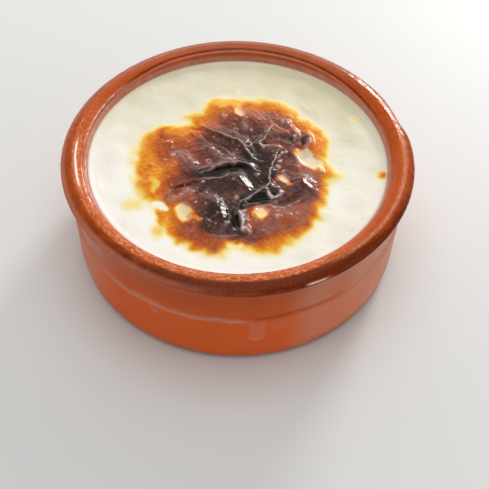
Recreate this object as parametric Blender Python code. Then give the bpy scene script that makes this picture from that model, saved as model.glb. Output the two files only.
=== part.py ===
"""Baked rice pudding in a small turned clay bowl.

Lengths are in millimetres, scaled to metres where a mesh is made. The bowl stands on z = 0
with its axis on Z; -Y is the side that faces the viewer. Angles are in degrees from +X.
"""
import bpy
import numpy as np
from mathutils.geometry import delaunay_2d_cdt

MM = 0.001

# Driving dimensions of the bowl
RIM_RADIUS = 60.0
HEIGHT = 42.3
WALL = 7.0
SEGMENTS = 80

# Section of the rim, from inside over the crest to its overhang: offsets from the rim's
# greatest radius and from the full height
RIM_SECTION = [
    (-9.0, -3.6), (-8.5, -2.2), (-7.7, -1.1), (-6.4, -0.35), (-4.6, 0.0), (-2.8, -0.3),
    (-1.1, -1.0), (-0.2, -1.8), (0.0, -2.6), (-0.5, -3.3), (-1.8, -3.9),
]

# Section of the wall, from the rim's overhang down to the foot: offsets from the rim's greatest
# radius, and heights. Its upper band is glazed and slightly hollow, the lower one is bare, and
# a small shoulder lies between.
SHOULDER_Z = 0.54 * HEIGHT
FOOT_RADIUS = RIM_RADIUS - 3.4
FOOT_ROUNDING = 4.2
WALL_SECTION = [
    (-3.1, HEIGHT - 4.4), (-3.7, HEIGHT - 7.2), (-3.7, SHOULDER_Z + 6.8), (-3.3, SHOULDER_Z + 0.7),
    (-2.6, SHOULDER_Z), (-2.9, 0.62 * SHOULDER_Z), (-3.1, FOOT_ROUNDING + 1.5),
]

# The hollow inside
INNER_RADIUS = RIM_RADIUS - 9.1
INNER_ROUNDING = 9.0

# What the maker's hand left: a slight oval, a second waver, a dent in the rim's outer edge,
# and an inner lip that runs further out at the back
OVAL = 0.3
OVAL_ANGLE = 80.0
WAVER = 0.15
DENT_DEPTH = 1.2
DENT_ANGLE = 17.5
DENT_HALF_ANGLE = 5.0
DENT_FROM_Z = 34.0
DENT_FADE = 4.0
LIP_DRIFT = 1.4
LIP_SHARE = 0.3

# The pudding fills the bowl to a few millimetres under the rim
GAP = 0.3
FILL_Z = HEIGHT - 4.1
MENISCUS = 0.25
MENISCUS_WIDTH = 2.0
LEVEL_RING = 6.0

# The browned skin: a thin plate on the pudding, a little off the middle. Places are x, y.
SKIN_CENTRE = (-1.0, -6.5)
SKIN_RADIUS = 36.0
SKIN_LIFT = 0.35
SKIN_EDGE = 3.0
SKIN_OUTLINE = [
    (-12, 22), (-10, 27), (-5, 29.5), (10, 29), (18, 24), (30.5, 10), (29, 0), (33.5, -7),
    (29, -15), (27, -25), (17, -37), (10, -41.5), (1, -38), (-6, -42.5), (-18, -37), (-27, -21),
    (-34.5, -7), (-32.5, 10), (-19, 14.5),
]
FINE_STEP = 1.2
COARSE_STEP = 3.2
EDGE_CLEARANCE = 0.45 * COARSE_STEP

# Swellings of the skin and the pudding: x, y, half width, half depth, turn, height
SWELLINGS = [
    (-21, -6, 11, 10, 20, 0.7),
    (-10, 2, 8, 8, -30, 0.9),
    (3, 19, 13, 8, -20, 1.0),
    (15.5, 10, 8, 7, 30, 1.1),
    (21, -12, 8, 15, 10, 0.8),
    (13, -27, 13, 9, 15, 0.9),
    (-13, -22, 10, 9, 30, 0.8),
    (-2, -24, 6, 10, -15, 1.2),
    (41, 14, 7, 12, 20, 0.3),
    (-42, 2, 6, 13, 0, 0.3),
    (-24, 32, 12, 7, 25, 0.3),
    (22, 38, 11, 6, -30, 0.25),
    (34, -30, 9, 8, -40, 0.3),
]

# How much of its height a fold or slit keeps at its ends, and how fast it gains the rest
END_SHARE = 0.35
END_SLOPE = 3.0

# Folds of the skin: height, width on the left and on the right of the line, points
FOLDS = [
    (1.2, 2.6, 1.0, [(-13, 16.5), (-8, 12.5), (-3, 10), (1, 7.5), (3, 3.5), (5, 0), (8, -1)]),
    (1.1, 1.2, 2.2, [(11.5, 16), (10, 13), (9.5, 10), (7.5, 7.5), (8.5, 5.8), (13, 5.5), (16, 5)]),
    (1.3, 1.3, 1.3, [(13.5, 4.5), (12, -2), (10.5, -10), (9, -14), (5, -16), (0.5, -22)]),
    (0.9, 2.4, 1.0, [(-20, 2), (-18, 0), (-15, -4), (-14, -6)]),
    (0.9, 1.6, 1.6, [(-9, 6), (-5, 3.5), (-2, 0), (-1, -1.5)]),
    (1.0, 1.6, 1.0, [(-12, -5.5), (-6, -3.6), (2, -3), (5, -5), (8, -6)]),
    (0.9, 1.2, 1.2, [(-24, -19), (-20, -15.5), (-16, -15)]),
    (0.9, 1.6, 1.6, [(16, 20), (20, 12), (22, 8)]),
    (0.9, 1.6, 1.6, [(24, 13), (25, 7), (23.5, 3)]),
    (1.0, 1.5, 1.5, [(21, -8), (24, -12), (25.5, -17)]),
    (1.2, 1.3, 1.3, [(0, -24), (2.4, -27), (2.5, -30), (4, -33)]),
]

# Slits and hollows between the folds: depth, half width, points
SLITS = [
    (1.9, 1.6, [(-13, -8), (-6, -6.6), (3, -5.2)]),
    (1.5, 1.6, [(2.5, -19.5), (8, -17.5), (14, -17)]),
    (1.2, 1.2, [(-22, -14.5), (-17, -12.8), (-12, -11)]),
    (1.2, 1.4, [(22.5, 11), (22, 8), (21, 5)]),
    (1.2, 1.8, [(-14, 12.5), (-9, 9), (-4, 6.5), (0, 3.5)]),
    (1.5, 2.2, [(13, 9.5), (18, 9.5)]),
    (1.0, 1.3, [(12, -21), (17, -19), (21, -15)]),
    (1.0, 1.2, [(0.2, -21), (-1, -26), (0, -32)]),
    (0.9, 1.5, [(12.5, -2), (14.5, -5), (12, -12)]),
]

# Windows where the pudding shows through the skin: x, y, half width, half depth, turn, depth
WINDOW_REACH = 1.15
WINDOW_STEEPNESS = 1.5
WINDOWS = [
    (24, 0, 3.2, 5.4, 40, 0.8),
    (15.5, -9, 1.5, 2.3, 25, 0.6),
    (-17, -25, 2.1, 3.8, 15, 0.6),
    (8, -24, 2.1, 2.8, 10, 0.6),
    (0.5, 23, 1.6, 2.8, 20, 0.4),
]

# Blisters: x, y, radius, height
BLISTERS = [
    (12, -14.3, 2.3, 0.9),
    (3, 6.6, 1.5, 0.8),
    (-5.5, 20.5, 1.3, 0.6),
    (-24, 6.5, 1.5, 0.7),
    (-22.5, 0.5, 1.3, 0.6),
    (13, -27.3, 1.6, 0.7),
    (-29.3, -4.2, 1.2, 0.5),
]

# The pudding between skin and wall is slightly wavy: height, waves across, direction, phase
WAVES = [(0.16, 5.0, 25.0, 0.6), (0.12, 7.0, 110.0, 2.1), (0.08, 11.0, 70.0, 4.0)]

CLAY_COLOUR = (0.36, 0.075, 0.022, 1.0)
CLAY_ROUGHNESS = 0.3
CLAY_SHARP_ANGLE = 50.0
PUDDING_COLOUR = (0.80, 0.66, 0.42, 1.0)
PUDDING_ROUGHNESS = 0.35
PUDDING_SHARP_ANGLE = 60.0


def clear_scene():
    for thing in list(bpy.data.objects):
        bpy.data.objects.remove(thing, do_unlink=True)


def plain_material(name, colour, roughness):
    material = bpy.data.materials.new(name)
    material.use_nodes = True
    shader = material.node_tree.nodes["Principled BSDF"]
    shader.inputs["Base Color"].default_value = colour
    shader.inputs["Roughness"].default_value = roughness
    shader.inputs["Metallic"].default_value = 0.0
    return material


def add_solid(name, points, faces, material, sharp_degrees):
    """Make one closed object from points in millimetres."""
    mesh = bpy.data.meshes.new(name)
    mesh.from_pydata([tuple(MM * c for c in p) for p in points], [], faces)
    mesh.materials.append(material)
    mesh.shade_smooth()
    mesh.set_sharp_from_angle(angle=np.radians(sharp_degrees))
    solid = bpy.data.objects.new(name, mesh)
    bpy.context.scene.collection.objects.link(solid)
    return solid


def arc(centre, size, start, end, steps):
    """Points on part of a circle in the (radius, z) plane, its angles in degrees."""
    turns = np.radians(np.linspace(start, end, steps + 1))
    return [(centre[0] + size * np.cos(t), centre[1] + size * np.sin(t)) for t in turns]


def smoothstep(value):
    value = np.clip(value, 0.0, 1.0)
    return value * value * (3.0 - 2.0 * value)


def inner_profile(top_z, gap):
    """The hollow from top_z down to the axis, drawn in by gap on every side."""
    bend_z = WALL + INNER_ROUNDING
    centre = (INNER_RADIUS - INNER_ROUNDING, bend_z)
    rounding = INNER_ROUNDING - gap
    side = [(INNER_RADIUS - gap, top_z), (INNER_RADIUS - gap, 0.5 * (top_z + bend_z))]
    return side + arc(centre, rounding, 0.0, -90.0, 4)


def outer_profile():
    """The outside from the rim's inner edge over the crest and down to the base."""
    rim = [(RIM_RADIUS + r, HEIGHT + z) for r, z in RIM_SECTION]
    wall = [(RIM_RADIUS + r, z) for r, z in WALL_SECTION]
    centre = (FOOT_RADIUS - FOOT_ROUNDING, FOOT_ROUNDING)
    return rim + wall + arc(centre, FOOT_ROUNDING, 0.0, -90.0, 5)


def hand_shift(angle, radius, z):
    """How far the thrower's hand moved a place on the outside or the rim from a true circle."""
    oval = OVAL * np.cos(2.0 * (angle - np.radians(OVAL_ANGLE))) + WAVER * np.cos(4.0 * angle)
    dent = DENT_DEPTH * np.exp(-((np.degrees(angle) - DENT_ANGLE) / DENT_HALF_ANGLE) ** 2)
    dent *= smoothstep((z - DENT_FROM_Z) / DENT_FADE)
    drift = LIP_DRIFT * (0.5 + 0.5 * np.sin(angle)) ** 2
    outward = (radius - INNER_RADIUS) / (RIM_RADIUS - INNER_RADIUS)
    from_lip = smoothstep(outward / LIP_SHARE)
    to_edge = smoothstep(outward)
    return drift * from_lip * (1.0 - to_edge) + (oval * z / HEIGHT - dent) * to_edge


def segment_angles():
    return [2.0 * np.pi * k / SEGMENTS for k in range(SEGMENTS)]


def ring_faces(upper, lower):
    """Quads between two rings of point numbers, facing out where the second is lower."""
    count = len(upper)
    return [(upper[k], lower[k], lower[(k + 1) % count], upper[(k + 1) % count]) for k in range(count)]


def make_bowl():
    points = []
    rings = []
    for radius, z in inner_profile(FILL_Z, 0.0)[::-1] + outer_profile():
        start = len(points)
        for angle in segment_angles():
            r = radius + hand_shift(angle, radius, z)
            points.append((r * np.cos(angle), r * np.sin(angle), z))
        rings.append(list(range(start, len(points))))
    faces = [face for upper, lower in zip(rings, rings[1:]) for face in ring_faces(upper, lower)]
    for ring, z, turn in ((rings[0], WALL, 1), (rings[-1], 0.0, -1)):
        points.append((0.0, 0.0, z))
        middle = len(points) - 1
        for k in range(SEGMENTS):
            pair = (ring[k], ring[(k + 1) % SEGMENTS])[::turn]
            faces.append((middle, *pair))
    material = plain_material("clay", CLAY_COLOUR, CLAY_ROUGHNESS)
    return add_solid("bowl", points, faces, material, CLAY_SHARP_ANGLE)


def along_line(x, y, line):
    """For each place: distance to the line, its side (left is +1), and how far along it lies."""
    line = np.array(line, float)
    lengths = np.hypot(*np.diff(line, axis=0).T)
    starts = np.concatenate([[0.0], np.cumsum(lengths)])
    best = np.full(x.shape, np.inf)
    side = np.ones(x.shape)
    share = np.zeros(x.shape)
    for k, length in enumerate(lengths):
        ux, uy = (line[k + 1] - line[k]) / length
        dx, dy = x - line[k][0], y - line[k][1]
        t = np.clip(dx * ux + dy * uy, 0.0, length)
        distance = np.hypot(dx - t * ux, dy - t * uy)
        nearer = distance < best
        best = np.where(nearer, distance, best)
        side = np.where(nearer, np.where(ux * dy - uy * dx >= 0.0, 1.0, -1.0), side)
        share = np.where(nearer, (starts[k] + t) / starts[-1], share)
    return best, side, share


def taper(share):
    """Full height along the middle of a fold, sinking towards both ends."""
    return smoothstep(END_SHARE + END_SLOPE * np.minimum(share, 1.0 - share))


def oval_share(x, y, middle_x, middle_y, half_width, half_depth, turn):
    """0 at the middle of a turned oval, 1 on its edge."""
    angle = np.radians(turn)
    dx, dy = x - middle_x, y - middle_y
    across = (dx * np.cos(angle) + dy * np.sin(angle)) / half_width
    along = (dy * np.cos(angle) - dx * np.sin(angle)) / half_depth
    return np.hypot(across, along)


def inside_outline(x, y, outline):
    """True where a place lies inside the closed outline."""
    inside = np.zeros(x.shape, bool)
    for (x0, y0), (x1, y1) in zip(outline, outline[1:] + outline[:1]):
        if y0 == y1:
            continue
        crosses = (y0 > y) != (y1 > y)
        inside ^= crosses & (x < x0 + (y - y0) * (x1 - x0) / (y1 - y0))
    return inside


def pudding_height(x, y):
    """Height of the pudding and its skin over the base."""
    radius = np.hypot(x, y)
    from_wall = INNER_RADIUS - GAP - radius
    inner_share = smoothstep(from_wall / LEVEL_RING)
    z = np.full(x.shape, FILL_Z) - MENISCUS * smoothstep(from_wall / MENISCUS_WIDTH)
    for height, count, direction, phase in WAVES:
        turn = np.radians(direction)
        across = (x * np.cos(turn) + y * np.sin(turn)) / (2.0 * INNER_RADIUS)
        z += inner_share * height * np.sin(2.0 * np.pi * count * across + phase)
    edge, _, _ = along_line(x, y, SKIN_OUTLINE + SKIN_OUTLINE[:1])
    signed = np.where(inside_outline(x, y, SKIN_OUTLINE), edge, -edge)
    z += SKIN_LIFT * smoothstep(0.5 + 0.5 * signed / SKIN_EDGE)
    for middle_x, middle_y, half_width, half_depth, turn, height in SWELLINGS:
        share = oval_share(x, y, middle_x, middle_y, half_width, half_depth, turn)
        z += inner_share * height * smoothstep(1.0 - share)
    for height, left, right, line in FOLDS:
        distance, side, share = along_line(x, y, line)
        width = np.where(side > 0.0, left, right)
        z += height * taper(share) * np.exp(-((distance / width) ** 2))
    for depth, half_width, line in SLITS:
        distance, _, share = along_line(x, y, line)
        z -= depth * taper(share) * np.exp(-((distance / half_width) ** 2))
    for middle_x, middle_y, half_width, half_depth, turn, depth in WINDOWS:
        share = oval_share(x, y, middle_x, middle_y, half_width, half_depth, turn)
        z -= depth * smoothstep(WINDOW_STEEPNESS * (WINDOW_REACH - share))
    for middle_x, middle_y, size, height in BLISTERS:
        share = np.hypot(x - middle_x, y - middle_y) / size
        z += height * np.sqrt(np.clip(1.0 - share ** 2, 0.0, None))
    return z


def surface_places():
    """Places on the pudding in rings round the skin's middle, close together under the skin."""
    places = []
    radius = 0.0
    step = FINE_STEP
    while radius < SKIN_RADIUS + 2.0 * INNER_RADIUS:
        count = max(1, round(2.0 * np.pi * radius / step))
        for k in range(count):
            angle = 2.0 * np.pi * (k + 0.5 * (round(radius / step) % 2)) / count
            x = SKIN_CENTRE[0] + radius * np.cos(angle)
            y = SKIN_CENTRE[1] + radius * np.sin(angle)
            if np.hypot(x, y) < INNER_RADIUS - GAP - EDGE_CLEARANCE:
                places.append((x, y))
        step = FINE_STEP if radius < SKIN_RADIUS else COARSE_STEP
        radius += step
    return places


def make_pudding():
    side = inner_profile(FILL_Z, GAP)
    edge = [(side[0][0] * np.cos(a), side[0][0] * np.sin(a)) for a in segment_angles()]
    places = edge + surface_places()
    loop = [list(range(SEGMENTS))]
    found = delaunay_2d_cdt(places, [], loop, 1, 1e-4)
    x, y = np.array([tuple(v) for v in found[0]]).T
    z = pudding_height(x, y)
    points = [tuple(p) for p in zip(x, y, z)]
    faces = [tuple(face) for face in found[2]]
    place_of = {origin: k for k, origins in enumerate(found[3]) for origin in origins}
    upper = [place_of[k] for k in range(SEGMENTS)]
    for number in upper:
        points[number] = (points[number][0], points[number][1], FILL_Z)
    for radius, level in side[1:]:
        start = len(points)
        points += [(radius * np.cos(a), radius * np.sin(a), level) for a in segment_angles()]
        lower = list(range(start, len(points)))
        faces += ring_faces(upper, lower)
        upper = lower
    points.append((0.0, 0.0, side[-1][1]))
    middle = len(points) - 1
    faces += [(middle, upper[(k + 1) % SEGMENTS], upper[k]) for k in range(SEGMENTS)]
    material = plain_material("pudding", PUDDING_COLOUR, PUDDING_ROUGHNESS)
    return add_solid("pudding", points, faces, material, PUDDING_SHARP_ANGLE)


def main():
    clear_scene()
    make_bowl()
    make_pudding()


main()
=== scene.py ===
"""Looks of a baked rice pudding in a turned clay bowl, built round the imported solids.

Lengths are in millimetres until a mesh is made. The bowl stands on z = 0 with its axis on Z, and
-Y is the viewer's side. Angles are in degrees from +X.
"""
import math

import bpy
import numpy as np
from mathutils import Matrix, Vector


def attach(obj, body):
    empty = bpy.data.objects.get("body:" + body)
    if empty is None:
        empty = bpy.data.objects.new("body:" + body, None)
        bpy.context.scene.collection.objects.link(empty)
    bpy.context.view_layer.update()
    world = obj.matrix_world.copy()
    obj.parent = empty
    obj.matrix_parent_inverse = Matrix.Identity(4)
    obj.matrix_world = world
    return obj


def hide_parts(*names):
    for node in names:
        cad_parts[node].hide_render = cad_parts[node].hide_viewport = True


MM = 0.001

# Camera: a long lens, 351 mm from the bowl, looking down at it from the front
CAMERA_PLACE = (0.0, -0.2413, 0.2802)
CAMERA_TILT = 49.994
CAMERA_TURN = 0.721
CAMERA_ROLL = 1.7
FOCAL_PIXELS = 1000.0
PHOTO_PIXELS = 489.0
SENSOR_WIDTH = 36.0
LIGHT_TARGET = Vector((0.0, 0.0, 0.03))
FLOOR_HALF = 1.5

# The bowl, as its solid has it
RIM_RADIUS = 60.0
HEIGHT = 42.3
WALL = 7.0
RIM_SECTION = [
    (-9.0, -3.6), (-8.5, -2.2), (-7.7, -1.1), (-6.4, -0.35), (-4.6, 0.0), (-2.8, -0.3),
    (-1.1, -1.0), (-0.2, -1.8), (0.0, -2.6), (-0.5, -3.3), (-1.8, -3.9),
]
SHOULDER_Z = 0.54 * HEIGHT
FOOT_RADIUS = RIM_RADIUS - 3.4
FOOT_ROUNDING = 4.2
WALL_SECTION = [
    (-2.5, HEIGHT - 4.9), (-3.3, HEIGHT - 7.6), (-3.7, SHOULDER_Z + 6.8), (-3.3, SHOULDER_Z + 0.7),
    (-2.6, SHOULDER_Z), (-2.9, 0.62 * SHOULDER_Z), (-3.1, FOOT_ROUNDING + 1.5),
]
INNER_RADIUS = RIM_RADIUS - 9.1
INNER_ROUNDING = 9.0
HOLLOW_CENTRE = (INNER_RADIUS - INNER_ROUNDING, WALL + INNER_ROUNDING)

# How the thrower's hand left the bowl: a little oval, with a dent at the back right and an uneven lip
OVAL = 0.3
OVAL_ANGLE = 80.0
WAVER = 0.15
DENT_DEPTH = 0.9
DENT_ANGLE = 17.5
DENT_HALF_ANGLE = 5.0
DENT_BACK_HALF_ANGLE = 9.0
DENT_FROM_Z = 34.0
DENT_FADE = 4.0
DENT_FROM_RADIUS = 56.6
LIP_DRIFT = 1.4
LIP_SHARE = 0.3

# The pudding, as its solid has it
FILL_Z = HEIGHT - 4.1
MENISCUS = 0.25
MENISCUS_WIDTH = 2.0
LEVEL_RING = 6.0
SKIN_LIFT = 0.35
SKIN_EDGE = 3.0

# The pudding's top reaches just into the wall, and its sides stay just clear of it
PUDDING_RADIUS = INNER_RADIUS + 0.05
SIDE_GAP = 0.3

# Broad swellings: x, y, half width, half depth, turn, height
SWELLINGS = [
    (-21, -6, 11, 10, 20, 0.7), (-10, 2, 8, 8, -30, 0.9), (3, 19, 13, 8, -20, 1.0),
    (15.5, 10, 8, 7, 30, 1.1), (21, -12, 8, 15, 10, 0.8), (13, -27, 13, 9, 15, 0.9),
    (-13, -22, 10, 9, 30, 0.8), (-6.0, -31, 6.5, 13, -8, 0.9), (41, 14, 7, 12, 20, 0.3),
    (-42, 2, 6, 13, 0, 0.3), (-24, 32, 12, 7, 25, 0.3), (22, 38, 11, 6, -30, 0.25),
    (34, -30, 9, 8, -40, 0.3),
]

# Lines that a fold shares with the thin edge along it
UPPER_LINE = [(-13.4, 16.2), (-8.6, 12.1), (-5, 10.6), (-0.5, 8.4), (1.2, 6.9), (2.4, 4), (4.7, -0.1)]
INNER_LINE = [(11.4, 15.6), (10.5, 13.2), (9.8, 10.5), (8.4, 8.5), (7.3, 6.5)]
LOWER_LINE = [(-13.3, -7.6), (-9.8, -5.9), (-5.4, -3.2), (0.6, -2.5), (3.2, -3.3), (6.3, -6.1)]

# Folds: height, half width on the left and on the right, points. SHARPER narrows folds and slits
SHARPER = 0.72
END_SHARE = 0.35
END_SLOPE = 3.0
FOLDS = [
    (0.9, 5.0, 1.3, UPPER_LINE + [(8, -1.2)]),
    (1.0, 1.4, 2.4, INNER_LINE + [(8.5, 5.2), (13.2, 5.3), (15, 4.7)]),
    (0.5, 2.4, 2.4, [(13.2, 3.7), (12.9, 1.1), (11.1, -5), (10.3, -9), (10.8, -11.9), (9, -14.5),
                     (3.7, -18.8), (1.1, -20.4), (-0.4, -24.2)]),
    (0.9, 2.4, 1.0, [(-20, 2), (-18, 0), (-15, -4), (-14, -6)]),
    (0.9, 1.6, 1.6, [(-9, 6), (-5, 3.5), (-2, 0), (-1, -1.5)]),
    (0.9, 2.4, 1.0, LOWER_LINE),
    (0.9, 1.2, 1.2, [(-24, -19), (-20, -15.5), (-16, -15)]),
    (0.9, 1.6, 1.6, [(16, 20), (20, 12), (22, 8)]),
    (0.9, 1.6, 1.6, [(24, 13), (25, 7), (23.5, 3)]),
    (1.0, 1.5, 1.5, [(21, -8), (24, -12), (25.5, -17)]),
    (1.2, 1.3, 1.3, [(0, -24), (2.4, -27), (2.5, -30), (4, -33)]),
]

# Slits beside the folds: depth, half width, points
SLITS = [
    (1.2, 0.85, [(-13, -7.6), (-9.5, -6.2), (-5.3, -4.4), (0.5, -3.9), (3.2, -4.7)]),
    (1.5, 1.6, [(2.5, -19.5), (8, -17.5), (14, -17)]),
    (0.7, 0.8, [(-22, -14.5), (-17, -12.8), (-12, -11)]),
    (1.2, 1.4, [(22.5, 11), (22, 8), (21, 5)]),
    (0.7, 1.7, [(-14, 12.5), (-9, 9), (-4, 6.5), (0, 3.5)]),
    (0.7, 2.6, [(13.5, 9.8), (19, 9.2)]),
    (1.0, 1.3, [(12, -21), (17, -19), (21, -15)]),
    (1.0, 1.2, [(0.2, -21), (-1, -26), (0, -32)]),
    (0.9, 1.5, [(12.5, -2), (14.5, -5), (12, -12)]),
]

# Bare windows in the skin: x, y, half width, half depth, turn, depth
WINDOW_REACH = 1.15
WINDOW_STEEPNESS = 1.5
WINDOW_PALENESS = 0.38
WINDOWS = [
    (24, 0, 3.2, 5.4, 40, 0.45), (15.5, -9, 1.5, 2.3, 25, 0.35), (-17, -25, 2.1, 3.8, 15, 0.35),
    (8, -24, 2.1, 2.8, 10, 0.35), (0.5, 23, 1.6, 2.8, 20, 0.25),
]

# Blisters: x, y, radius, height
BLISTERS = [
    (12, -14.3, 2.3, 0.3), (3, 6.6, 1.5, 0.3), (-5.5, 20.5, 1.3, 0.6), (-24, 6.5, 1.5, 0.7),
    (-22.5, 0.5, 1.3, 0.6), (13, -27.3, 1.6, 0.7), (-29.3, -4.2, 1.2, 0.5),
]

# Faint waves of the surface: height, count across the bowl, direction, phase
WAVES = [(0.07, 5.0, 25.0, 0.6), (0.05, 7.0, 110.0, 2.1), (0.03, 11.0, 70.0, 4.0)]

# Outline of the browned skin, clockwise from its upper left
SKIN_OUTLINE = [
    (-13, 22.5), (-11, 27.5), (-5, 29.7), (5, 29.3), (10, 29.3), (14.5, 28), (18.7, 25), (21, 21), (25, 18),
    (28.5, 14.3), (30.5, 10), (30, 4), (29, 0), (31, -4), (33.5, -7), (29.6, -10), (28, -15), (27.2, -20),
    (26.4, -25), (24, -29), (21, -33), (17, -37), (12, -41), (8, -41.3), (3.2, -39.8), (-0.8, -35.8),
    (-3.4, -40), (-5, -42), (-9, -41.8), (-13, -39.3), (-18, -36.6), (-21, -34), (-23, -29), (-25, -24),
    (-27, -21), (-31, -19), (-33, -13), (-34.5, -7), (-34, -2), (-33.5, 4), (-32.5, 10),
    (-29, 13.5), (-24, 15), (-19, 14.5), (-16, 17), (-18, 21), (-15, 21),
]

# How far the skin is baked, from 0 (cream) to 1 (black): millimetres inside its edge, degree
BAKE_BY_DEPTH = [(-4.0, 0.0), (-2.3, 0.03), (-1.1, 0.09), (0.0, 0.17), (1.0, 0.25), (2.2, 0.33), (4.0, 0.4),
                 (6.5, 0.47), (9.5, 0.53), (13.0, 0.58)]

# Stretches of the skin that are baked more or less, some of them dark painted shade in the slits, in the
# pit and
# under the blob: x, y, half width, half depth, turn, degree, blur
BAKE_AND_SHADE_AREAS = [
    (-19, -5, 8, 8, 0, 0.62, 0.6), (3, 13, 10, 7, -15, 0.68, 0.6), (12, 20, 4, 3.5, -30, 0.56, 0.6),
    (15, 17.5, 4.5, 2.5, -30, 0.6, 0.6), (-15.5, -6.5, 5, 4.5, 0, 0.68, 0.6),
    (-19.5, -17.5, 4.5, 3, 20, 0.58, 0.6), (22, -13, 6, 8, 10, 0.63, 0.5), (15, -26, 9, 7, 10, 0.56, 0.5),
    (-11, -33, 9, 6, -10, 0.56, 0.5), (4, -34, 6.5, 4, 0, 0.63, 0.5), (-2, 2, 13, 8, -35, 0.74, 0.4),
    (-9, -23, 5.2, 7, 0, 0.72, 0.45), (-4, -12.5, 11, 5, 10, 0.8, 0.35), (7, -6, 6, 12, 8, 0.93, 0.35),
    (-4.2, -26, 5.8, 8, 10, 0.83, 0.3), (-4.0, -27, 4.5, 6.5, 10, 0.87, 0.4),
    (-8.0, -31.5, 4, 2.5, 0, 0.77, 0.4), (-2.5, -34.6, 7, 1.7, 0, 0.75, 0.5),
    (-7.5, -38.4, 3.8, 2.4, 0, 0.5, 0.6), (15.5, -18.8, 4.5, 3.6, -10, 0.72, 0.6),
    (7, -18, 7.5, 3, 20, 1.0, 0.3), (19.5, -14.5, 4.5, 3.5, -40, 0.76, 0.7),
    (16.5, 9.6, 4.2, 3.0, -10, 0.78, 0.8), (6.5, 6.5, 3, 5, 20, 0.88, 0.5),
    (5, 11.5, 7, 2.6, 0, 0.76, 0.5), (15.2, 1.2, 4.6, 3.2, -10, 0.84, 0.5),
    (-5, 8.0, 9, 2.0, -30, 0.76, 0.5), (-13.5, 12.3, 4.4, 2.4, -30, 0.56, 0.5),
    (-9, 8.5, 4.0, 2.4, -30, 0.7, 0.5), (-5, -5.0, 8.5, 1.3, 14, 1.0, 0.4),
    (-7.0, -7.5, 8.0, 1.8, 6, 0.97, 0.5), (22.6, 10, 1.1, 3, 10, 0.85, 0.4),
    (-17, -12.9, 6, 0.9, 25, 0.74, 0.5), (1, -27, 2, 7, 0, 0.98, 0.3), (-31, -1, 2.6, 4, 0, 0.31, 0.6),
    (-4, 27.6, 5.5, 1.8, 0, 0.2, 0.5), (27, 12.5, 2.5, 2.5, -45, 0.28, 0.5),
    (-23, -5, 3.2, 5, 0, 0.44, 0.6), (-27.5, -8.0, 3.0, 6.0, 5, 0.28, 0.7),
    (-20, 12.8, 7, 1.6, 0, 0.3, 0.6), (17, -3.5, 3, 5, 20, 0.7, 0.6),
    (-27.4, -12.8, 1.9, 3.6, 5, 0.17, 0.5), (-24.5, -27, 1.8, 3, 10, 0.3, 0.6),
    (-26, 8, 2, 5, 10, 0.5, 0.6), (24.1, 0.2, 2.8, 5.7, 45, 0.06, 0.3),
    (15.2, -9.6, 1.7, 2.9, 45, 0.07, 0.45), (-17.3, -25.3, 2.6, 3.9, 15, 0.09, 0.3),
    (-13.6, -27.6, 2.6, 0.9, -35, 0.3, 0.5), (7.7, -25.0, 2.0, 3.3, 5, 0.11, 0.4),
    (0.0, 23.3, 1.4, 3.0, 15, 0.15, 0.5), (-24.9, -22.3, 2.6, 1.5, -20, 0.0, 0.4),
    (-0.4, -38.9, 2.8, 1.5, 0, 0.07, 0.6),
]

# Yellow and brown spots on the cream: x, y, half width, half depth, degree
SPOTS = [
    (-34, -22, 5.0, 3.6, 0.1), (-25, -33, 3.2, 4.0, 0.15), (0, 34, 1.8, 2.6, 0.06),
    (40.5, 21, 1.8, 1.5, 0.13), (48.8, -6.6, 2.4, 2.8, 0.24), (-36, 1, 2.5, 9, 0.06),
    (49.4, -6.8, 1.1, 1.5, 0.42),
]
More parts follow.
